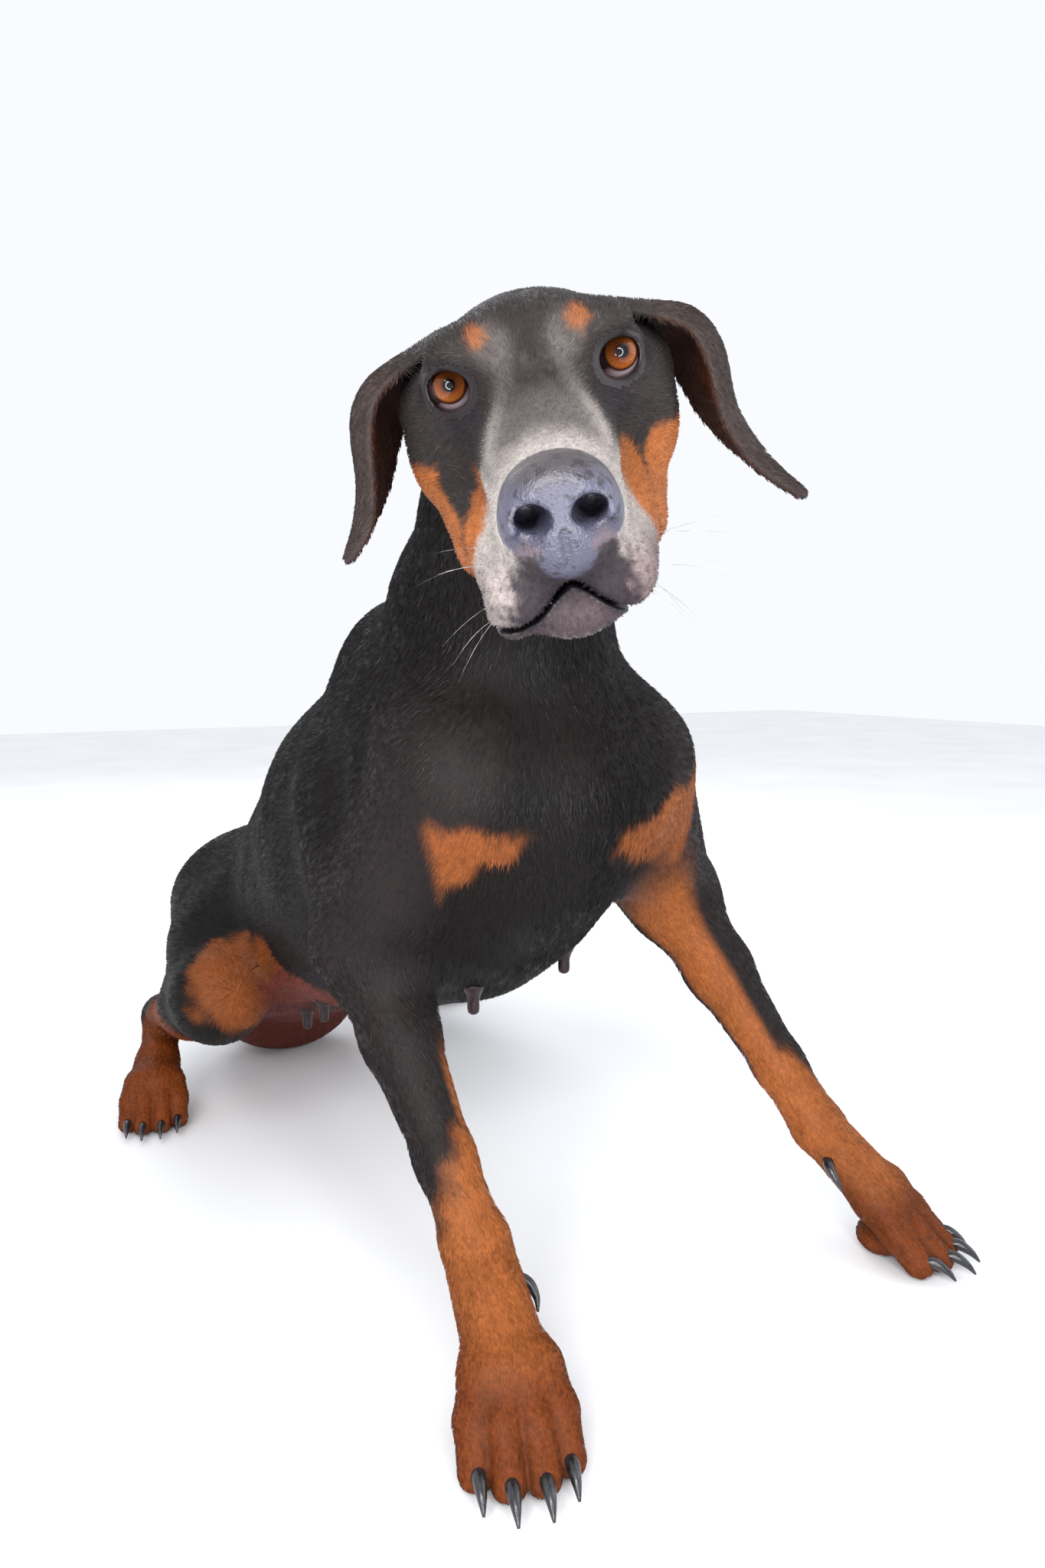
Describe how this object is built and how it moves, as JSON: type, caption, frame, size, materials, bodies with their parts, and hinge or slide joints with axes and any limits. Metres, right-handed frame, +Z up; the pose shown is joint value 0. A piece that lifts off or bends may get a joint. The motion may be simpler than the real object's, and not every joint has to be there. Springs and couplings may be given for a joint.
{
  "type": "doberman pinscher",
  "caption": "Life-size doberman pinscher bitch, still, sitting with propped forelegs and head raised to look at the viewer; natural drop ears and tail.",
  "frame": {"origin": "middle of the footprint on the floor", "axes": "+Z up, the animal faces -Y and its left side is +X"},
  "size_m": [0.5384, 1.1979, 0.6469],
  "materials": {
    "dark_coat": "short sleek blue-grey to black hair",
    "tan_coat": "short sleek rust hair",
    "nose_pad": "moist pebbled skin",
    "eye": "wet amber iris",
    "claw": "polished black horn"
  },
  "bodies": {
    "root": {"claw_fore_l_1": "claw", "claw_fore_l_2": "claw", "claw_fore_l_3": "claw", "claw_fore_l_4": "claw", "claw_fore_r_1": "claw", "claw_fore_r_2": "claw", "claw_fore_r_3": "claw", "claw_fore_r_4": "claw", "claw_hind_l_1": "claw", "claw_hind_l_2": "claw", "claw_hind_l_3": "claw", "claw_hind_l_4": "claw", "claw_hind_r_1": "claw", "claw_hind_r_2": "claw", "claw_hind_r_3": "claw", "claw_hind_r_4": "claw", "dewclaw_l": "claw", "dewclaw_r": "claw", "ear_l": "dark_coat", "ear_r": "dark_coat", "eye_l": "eye", "eye_r": "eye", "fore_paw_l": "tan_coat", "fore_paw_r": "tan_coat", "forearm_l": "dark_coat", "forearm_r": "dark_coat", "head": "dark_coat", "hind_paw_l": "tan_coat", "hind_paw_r": "tan_coat", "neck": "dark_coat", "nose": "nose_pad", "shank_l": "tan_coat", "shank_r": "tan_coat", "tail": "dark_coat", "thigh_l": "dark_coat", "thigh_r": "dark_coat", "torso": "dark_coat", "upper_foreleg_l": "dark_coat", "upper_foreleg_r": "dark_coat"}
  },
  "joints": []
}
